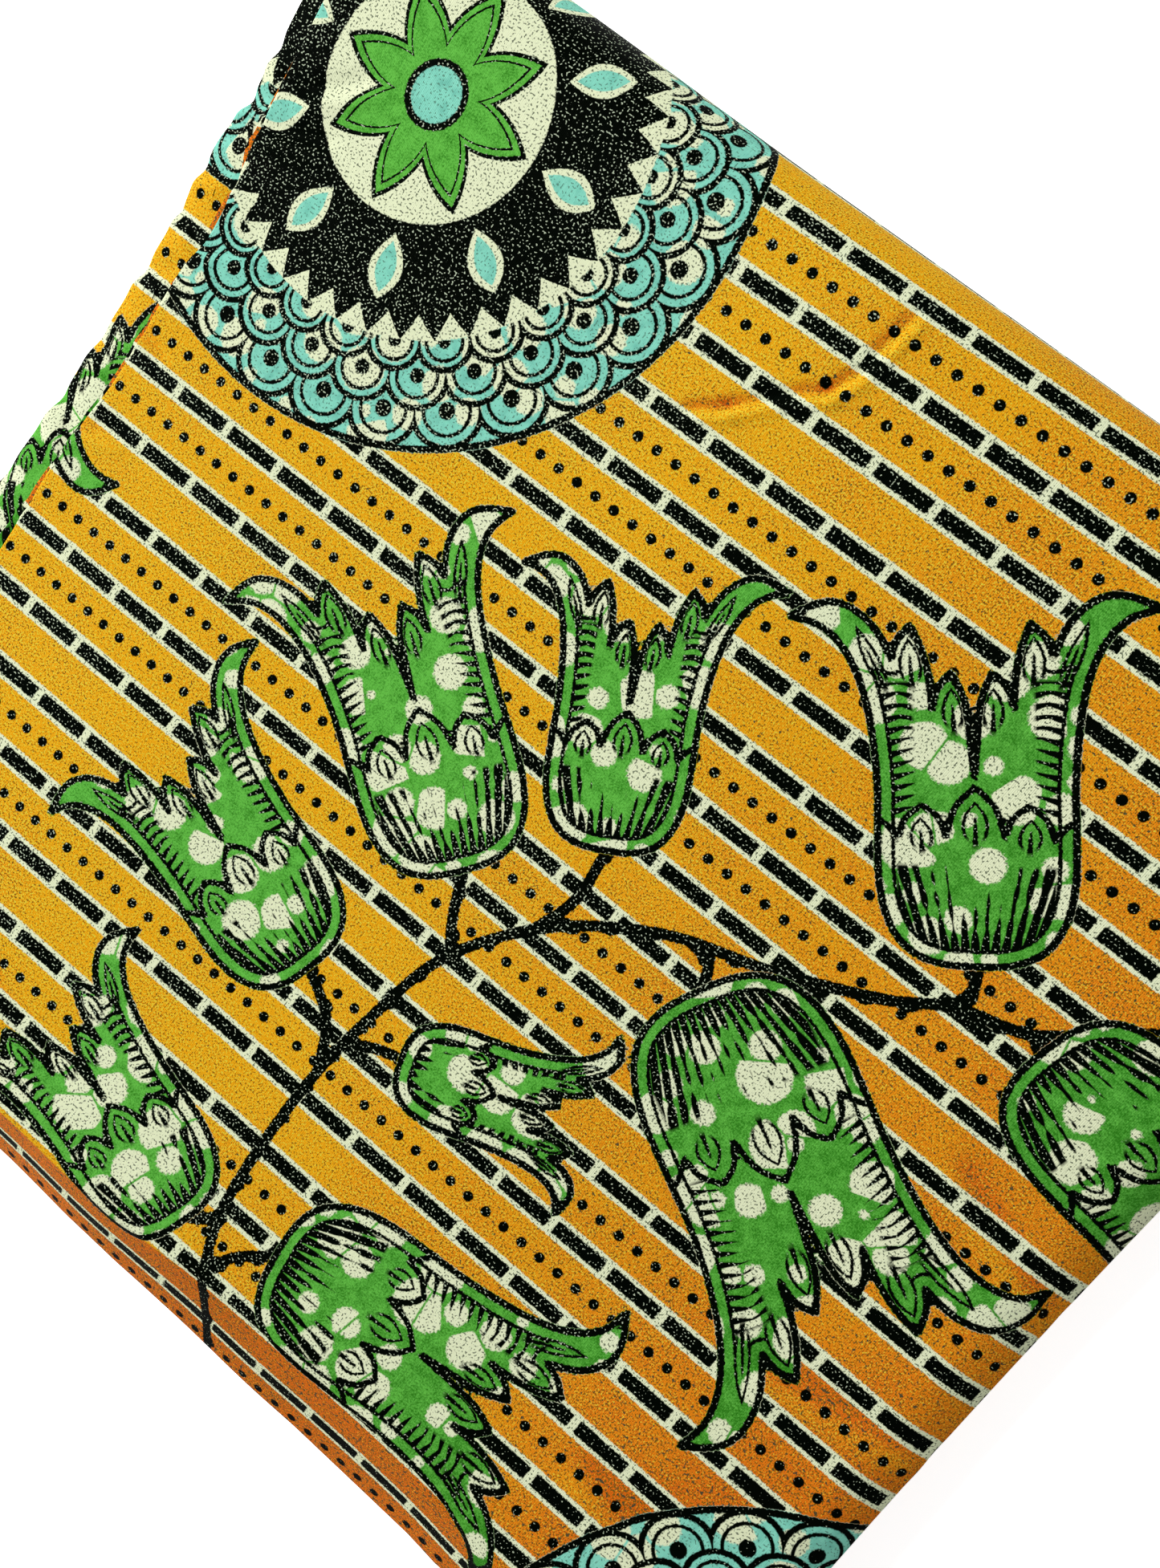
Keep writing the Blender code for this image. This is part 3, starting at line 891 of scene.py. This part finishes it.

# Specks: their noise and whether they lie over or under its limit, how far the painted shade and the clouds
# move it, its blur, and their strength. The pale specks in black and the yellow ones in orange are painted
# glints.
SPECKS = named(
    ("dye", "noise", "over", "limit", "deep", "clouds", "blur", "strength"),
    ("olive in orange", OLIVE, "fine", False, 0.39, 0.05, 0.10, 0.05, 1.0),
    ("yellow in orange", YELLOW_GLINT, "fine", True, 0.575, 0.08, -0.10, 0.05, 0.8),
    ("dark in orange", DARK_SPECK, "coarse", False, 0.26, 0.11, 0.0, 0.06, 0.9),
    ("dark in cream", DARK_SPECK, "specks", False, 0.37, 0.0, 0.0, 0.05, 0.8),
    ("dark in teal", DARK_SPECK, "specks", False, 0.34, 0.0, 0.0, 0.05, 0.6),
    ("pale in black", PALE_GLINT, "specks", True, 0.68, 0.08, -0.25, 0.05, 0.8),
)

# Threads, which run across the stripes
THREADS = {"step": 0.38, "shade": 0.5, "height": 0.6}
SLUBS = {"along": 2.4, "across": 0.45, "from": 0.4, "shade": 1.6, "height": 1.4}
THREAD_SHADE = 0.10
RELIEF = 0.00004

# Face of the cloth
ROUGHNESS = {"least": 0.25, "slubs": 0.3, "grain": 0.2}
SPECULAR = 0.004

# Floor and light
FLOOR = {"half": 3.0, "cells": 8, "colour": (0.95, 0.95, 0.95, 1.0), "roughness": 0.9, "glow": 0.75}
WHITE = (1.0, 1.0, 1.0, 1.0)
WORLD_STRENGTH = 0.28
KEY_LIGHT = {"place": (-1.7, 0.10, 1.5), "size": 0.9, "power": 64.0}


def operator(operation, reflected=False):
    """An operator of a value, which adds one Math node."""
    def act(value, *others):
        return value.maths(operation, *((*others, value) if reflected else (value, *others)))
    return act


class Value:
    """A number or colour that changes over the surface; arithmetic on it adds Math nodes."""

    def __init__(self, finish, socket):
        self.finish = finish
        self.socket = socket

    def maths(self, operation, *numbers):
        return self.finish.node("ShaderNodeMath", {"operation": operation}, dict(enumerate(numbers)))

    __add__ = operator("ADD")
    __radd__ = operator("ADD", True)
    __sub__ = operator("SUBTRACT")
    __rsub__ = operator("SUBTRACT", True)
    __mul__ = operator("MULTIPLY")
    __rmul__ = operator("MULTIPLY", True)
    __truediv__ = operator("DIVIDE")
    __abs__ = operator("ABSOLUTE")
    root = operator("SQRT")
    more_of = operator("MAXIMUM")
    softer_of = operator("SMOOTH_MAX")

    def __neg__(self):
        return self * -1.0

    def beside(self, step):
        """Distance to the nearest whole multiple of a step."""
        return self.maths("PINGPONG", self, step / 2)

    def rest_of(self, step):
        """What is left over past the last whole multiple of a step."""
        return self.maths("FLOORED_MODULO", self, step)

    def above(self, limit, blur=EDGE_BLUR, least=0.0, most=1.0):
        """1 where the number is over a limit and 0 where it is under it, with a narrow blur between."""
        stops = {"Value": self, "From Min": limit - blur / 2, "From Max": limit + blur / 2}
        stops.update({"To Min": least, "To Max": most})
        return self.finish.node("ShaderNodeMapRange", {"clamp": True}, stops)

    def below(self, limit, blur=EDGE_BLUR):
        """1 where the number is under a limit and 0 where it is over it."""
        return self.above(limit, blur, 1.0, 0.0)

    def line(self, half):
        """1 on a line of a half width where the number is nought."""
        return abs(self).below(half)


class Finish:
    """One material's nodes, all added in one way."""

    def __init__(self, name):
        self.material = bpy.data.materials.new(name)
        self.material.use_nodes = True
        self.nodes = self.material.node_tree.nodes
        self.links = self.material.node_tree.links
        self.shader = self.nodes["Principled BSDF"]

    def feed(self, socket, value):
        """Link a value to a socket, or set a plain one on it."""
        if isinstance(value, Value):
            self.links.new(value.socket, socket)
        else:
            socket.default_value = value

    def node(self, kind, settings, sockets, output=0):
        """Add a node, set it up, fill its sockets and give back one output, or all of them."""
        made = self.nodes.new(kind)
        for name, value in settings.items():
            setattr(made, name, value)
        for name, value in sockets.items():
            self.feed(made.inputs[name], value)
        if output is None:
            return [Value(self, socket) for socket in made.outputs]
        return Value(self, made.outputs[output])

    def kept(self, name):
        """The three numbers of an attribute that a piece keeps."""
        vector = self.node("ShaderNodeAttribute", {"attribute_name": name}, {}, "Vector")
        return self.node("ShaderNodeSeparateXYZ", {}, {0: vector}, None)

    def mix(self, under, over, share):
        """One colour laid over another."""
        settings = {"data_type": "RGBA"}
        return self.node("ShaderNodeMix", settings, {0: share, 6: under, 7: over}, 2)

    def noise(self, vector, name):
        """One of the noises, on the cloth."""
        return self.node("ShaderNodeTexNoise", {}, {"Vector": vector, **NOISES[name]})

    def dress(self, sockets):
        """Feed the shader's own sockets."""
        for name, value in sockets.items():
            self.feed(self.shader.inputs[name], value)


def spots(finish, cloth, grain):
    """Round pale spots of uneven size, with veins between those that touch."""
    sockets = {"Vector": cloth, "Scale": SPOTS["scale"]}
    settings = {"voronoi_dimensions": "2D"}
    reach, tint = finish.node("ShaderNodeTexVoronoi", settings, sockets, None)[:2]
    settings["feature"] = "DISTANCE_TO_EDGE"
    from_vein = finish.node("ShaderNodeTexVoronoi", settings, sockets, "Distance")
    size = tint * SPOTS["more"] + SPOTS["least"]
    round_spot = (reach + grain * SPOTS["ragged"] - size).below(0.0, SPOTS["blur"])
    return round_spot * (from_vein + grain * SPOTS["vein ragged"]).above(SPOTS["vein"], SPOTS["vein blur"])


def dyed(finish, cloth, deep):
    """The dyes, with their specks and painted glints, their slow changes over the cloth, and painted shade.
    """
    noises = {name: finish.noise(cloth, name) for name in ("specks", "fine", "coarse", "patches", "clouds")}
    patches = noises["patches"]
    clouds = noises["clouds"] - 0.5

    def speckled(under, name):
        """A dye with one kind of specks in it."""
        row = SPECKS[name]
        # Painted shade moves the limit: fewer painted glints and more dark specks where shade is painted
        moved = noises[row["noise"]] - deep * row["deep"] - clouds * row["clouds"]
        laid = moved.above if row["over"] else moved.below
        return finish.mix(under, row["dye"], laid(row["limit"], row["blur"]) * row["strength"])

    # Painted shade, with the dyes' soft clouds and patches, deepens the orange and then darkens it
    shade_and_clouds = deep + clouds * PAINTED_SHADE_AND_CLOUDS["clouds"] + (patches - 0.5) * PAINTED_SHADE_AND_CLOUDS["patches"]
    orange = finish.mix(ORANGE, SHADE_AND_CLOUD_ORANGE, shade_and_clouds)
    orange = finish.mix(orange, SHADED_ORANGE, (shade_and_clouds - 1.0) * PAINTED_SHADE_AND_CLOUDS["shaded"])
    for name in ("olive in orange", "yellow in orange", "dark in orange"):
        orange = speckled(orange, name)
    # Lighter and darker green in random patches, darker still where shade is painted
    light = (patches - 0.5) * GREENS["patches"] + (noises["fine"] - 0.5) * GREENS["fine"]
    light = light + GREENS["least"] - deep * GREENS["deep"]
    teal = finish.mix(TEAL, DEEP_TEAL, (patches - TEALS["from"]) * TEALS["patches"])
    return {
        "orange": orange,
        "cream": speckled(CREAM, "dark in cream"),
        "green": finish.mix(DEEP_GREEN, LIGHT_GREEN, light),
        "teal": speckled(teal, "dark in teal"),
        "black": speckled(BLACK, "pale in black"),
    }


def stripes(finish, dyes, along, across, ragged):
    """Colour of the striped ground, and its ink."""
    stripe = across * (-1 / REPEAT) + START_ACROSS
    step = along * (1 / REPEAT) + START_ALONG
    from_line = stripe.beside(1.0) * REPEAT + ragged
    from_gap = step.beside(1.0) * REPEAT - ragged
    dash = (from_line - DASH_HALF).softer_of(DASH_GAP - from_gap, DASH_CORNER).below(0.0)
    dot_along = (step * DOTS_IN_REPEAT - 0.5).beside(1.0) * (REPEAT / DOTS_IN_REPEAT)
    dot_across = REPEAT / 2 - from_line
    from_dot = (dot_along * dot_along + dot_across * dot_across).root() + ragged
    dots = from_dot.below(DOT_RADIUS) * stripe.rest_of(ROWS_IN_GROUP).below(DOTTED_ROWS, SHARE_BLUR)
    return finish.mix(dyes["orange"], dyes["cream"], from_line.below(LINE_HALF)), dash.more_of(dots)


def marks(side, up, size, ragged):
    """Ink of the small nested strokes in the lobes of a flower."""
    ink = None
    for row in MARKS:
        high = up / size - row["along"]
        wide = abs(abs(side) / size - (row["across"] + high * row["lean"]))
        share = high * (1 / row["half length"])
        arch = ((wide - row["half width"] * (1.0 - share * share)) * size + ragged).line(MARK["half"])
        arch = arch * share.above(MARK["arch from"], MARK["from blur"])
        middle = (wide * size + ragged + share * MARK["taper"]).below(MARK["half"])
        middle = middle * share.above(MARK["middle from"], MARK["from blur"])
        middle = middle * share.below(MARK["middle to"], MARK["to blur"])
        arch = arch.more_of(middle)
        ink = arch if ink is None else ink.more_of(arch)
    return ink


def flowers(finish, dyes, cloth, ragged, blotch):
    """Colour, ink and cover of the flowers."""
    side, up, size = finish.kept("flower")
    edge, bowl, _ = finish.kept("edges")
    edge, bowl = edge + ragged, bowl + ragged
    depth = -edge
    in_rim = depth - RIM["depth"]
    past_rim = in_rim.above(0.0)
    lengths = finish.noise(cloth, "lengths")
    side_share, up_share = abs(side) / size, up / size
    rim = in_rim.line(THIN_HALF) * up_share.below(RIM["to up"], SHARE_BLUR)
    rim = rim * side_share.above(RIM["foot"], SHARE_BLUR).more_of(up_share.below(RIM["foot"], SHARE_BLUR))
    comb_half = COMB["half"] * (COMB["widest"] - in_rim / (lengths * COMB["more"] + COMB["shortest"]))
    comb = ((up - depth * COMB["slant"]).beside(COMB["step"]) - comb_half).below(0.0) * past_rim
    comb = comb * up_share.above(COMB["from up"], SHARE_BLUR) * up_share.below(COMB["to up"], SHARE_BLUR)
    comb = comb * side_share.above(COMB["from side"], SHARE_BLUR) * bowl.above(0.0)
    spread = side / (up + size * BASE["spread from"]) * size * BASE["spread at"]
    reach = size * size * (lengths * BASE["more"] + BASE["shortest"])
    base_half = BASE["half"] * (BASE["widest"] - in_rim / reach * BASE["widest"])
    base = (spread.beside(BASE["step"]) - base_half).below(0.0) * past_rim
    base = base * up_share.below(BASE["to up"], SHARE_BLUR) * side_share.below(BASE["to side"], SHARE_BLUR)
    ink = edge.line(OUTLINE_HALF).more_of(rim).more_of(bowl.line(INNER_LINE_HALF)).more_of(comb).more_of(base)
    ink = ink.more_of(marks(side, up, size, ragged) * depth.above(OUTLINE_HALF))
    return finish.mix(dyes["green"], dyes["cream"], blotch), ink, edge.below(OUTLINE_HALF)


def beside_spoke(turns, count, radius, shift=0.0):
    """Distance beside the nearest of some even spokes, measured at a radius."""
    return (turns * count + shift).beside(1.0) * (math.tau * radius / count)


def scales(turns, reach):
    """Ink and eyes of the rows of scales round the rosette, each row laid over the next one out."""
    ink, eyes, covered = None, None, None
    for row in SCALE_ROWS:
        cell = math.tau * row["middle"] / SCALE["count"]
        wide = beside_spoke(turns, SCALE["count"], row["middle"], row["shift"])
        high = reach - row["middle"]
        scale = (wide * wide + high * high).root() - cell * SCALE["reach"]
        line = scale.line(INNER_LINE_HALF).more_of((scale + cell * SCALE["inner line"]).line(THIN_HALF))
        eye = (scale + cell * SCALE["eye"]).below(0.0)
        inside = scale.below(0.0)
        if covered is None:
            ink, eyes, covered = line, eye, inside
        else:
            bare = 1 - covered
            ink, eyes = ink.more_of(line * bare), eyes.more_of(eye * bare)
            covered = covered.more_of(inside)
    return ink, eyes


def rosettes(finish, dyes, ragged, blotch):
    """Colour, ink and cover of the round ornaments."""
    x, y, near = finish.kept("rosette")
    reach = (x * x + y * y).root() + ragged
    turns = x.maths("ARCTAN2", y, x) * (1 / math.tau)
    ink, eyes = scales(turns, reach)
    ink = ink.more_of((reach - ROSETTE_OUT).line(OUTLINE_HALF)).more_of(eyes)
    colour = finish.mix(dyes["teal"], dyes["cream"], blotch)
    top = TOOTH["middle"] + TOOTH["height"] / 2
    tooth_cell = math.tau * TOOTH["middle"] / TOOTH["count"]
    tooth = beside_spoke(turns, TOOTH["count"], TOOTH["middle"])
    tooth_side = (top - reach) * (tooth_cell / 2 / TOOTH["height"])
    teeth = (tooth - tooth_side).above(0.0) * (top - reach).below(TOOTH["height"])
    leaf_wide = beside_spoke(turns, LEAF["count"], LEAF["middle"])
    leaf_high = (reach - LEAF["middle"]) * (1 / LEAF["half length"])
    leaf = leaf_wide - LEAF["half width"] * (1.0 - leaf_high * leaf_high)
    point = (turns * STAR["points"]).beside(1.0) * 2
    star = reach - (STAR["out"] - point * (STAR["out"] - STAR["in"]))
    cream = teeth.more_of(leaf.below(0.0)).more_of(reach.below(DISC_OUT))
    middle = finish.mix(dyes["black"], dyes["cream"], cream)
    middle = finish.mix(middle, dyes["teal"], leaf.below(-LEAF["rim"]))
    middle = finish.mix(middle, dyes["green"], star.below(0.0))
    middle = finish.mix(middle, dyes["teal"], reach.below(EYE_OUT))
    middle_ink = star.line(OUTLINE_HALF).more_of((star + STAR["rim"]).line(THIN_HALF))
    for circle in (EYE_OUT, DISC_OUT):
        middle_ink = middle_ink.more_of((reach - circle).line(OUTLINE_HALF))
    middle_ink = middle_ink.more_of(1 - cream.more_of(star.below(0.0)))
    inner = reach.below(top)
    ink = (ink * (1 - inner)).more_of(middle_ink * inner)
    return finish.mix(colour, middle, inner), ink, (near + ragged).below(ROSETTE_OUT + OUTLINE_HALF)


def printed_cotton():
    """The print and its satin face."""
    finish = Finish("printed_cotton")
    along, across, deep = finish.kept("cloth")
    stem = finish.kept("edges")[2]
    cloth = finish.node("ShaderNodeCombineXYZ", {}, {0: along, 1: across})
    grain = finish.noise(cloth, "grain")
    ragged = (grain - 0.5) * RAGGED
    blotch = spots(finish, cloth, grain - 0.5)
    dyes = dyed(finish, cloth, deep)
    colour, ink = stripes(finish, dyes, along, across, ragged)
    ink = ink.more_of((stem + ragged).below(0.0))
    motifs = (flowers(finish, dyes, cloth, ragged, blotch), rosettes(finish, dyes, ragged, blotch))
    for motif, motif_ink, cover in motifs:
        colour = finish.mix(colour, motif, cover)
        ink = (ink * (1 - cover)).more_of(motif_ink * cover)
    colour = finish.mix(colour, dyes["black"], ink)
    stretched = {0: along * SLUBS["along"], 1: across * SLUBS["across"]}
    slubs = finish.noise(finish.node("ShaderNodeCombineXYZ", {}, stretched), "slubs")
    threads = along.beside(THREADS["step"]) * (2 / THREADS["step"])
    shade = (slubs - SLUBS["from"]) * SLUBS["shade"] + threads * THREADS["shade"]
    relief = threads * THREADS["height"] + slubs * SLUBS["height"]
    bump = finish.node("ShaderNodeBump", {}, {"Height": relief, "Distance": RELIEF, "Strength": 1.0})
    finish.dress({
        "Base Color": finish.mix(colour, BLACK, shade.more_of(0.0) * THREAD_SHADE),
        "Roughness": slubs * ROUGHNESS["slubs"] + grain * ROUGHNESS["grain"] + ROUGHNESS["least"],
        "Specular IOR Level": SPECULAR,
        "Normal": bump,
    })
    return finish.material


def make_floor():
    """The pale floor under the bundle."""
    floor = add_grid("floor", FLOOR["cells"], FLOOR["cells"], FLOOR["half"])
    finish = Finish("pale_floor")
    finish.dress({
        "Base Color": FLOOR["colour"],
        "Roughness": FLOOR["roughness"],
        "Emission Color": WHITE,
        "Emission Strength": FLOOR["glow"],
    })
    floor.data.materials.append(finish.material)


def make_camera():
    """The camera at the photo's place."""
    data = bpy.data.cameras.new("camera")
    data.lens = LENS
    data.clip_start = 0.01
    camera = add_object("camera", data)
    camera.location = CAMERA_PLACE
    camera.rotation_euler = [math.radians(angle) for angle in CAMERA_TURN]
    bpy.context.scene.camera = camera


def make_light(name, place, size, power):
    """A soft square lamp that looks at the bundle."""
    data = bpy.data.lights.new(name, "AREA")
    data.shape = "SQUARE"
    data.size = size
    data.energy = power
    lamp = add_object(name, data)
    lamp.location = place
    lamp.rotation_euler = lamp.location.to_track_quat("Z", "Y").to_euler()


def make_world(strength):
    """Even light from all round."""
    world = bpy.data.worlds.new("studio")
    world.use_nodes = True
    sky = world.node_tree.nodes["Background"]
    sky.inputs["Color"].default_value = WHITE
    sky.inputs["Strength"].default_value = strength
    bpy.context.scene.world = world


def main():
    bpy.context.scene.view_settings.view_transform = "Standard"
    make_camera()
    make_floor()
    make_world(WORLD_STRENGTH)
    make_light("key", **KEY_LIGHT)
    cotton = printed_cotton()
    pieces = {
        "outer_turn": make_outer_turn(),
        "second_turn": make_second_turn(),
        "inner_turns": make_inner_turns(),
    }
    for node, piece in pieces.items():
        piece.data.materials.append(cotton)
        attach(piece, "root")
        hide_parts(node)


main()
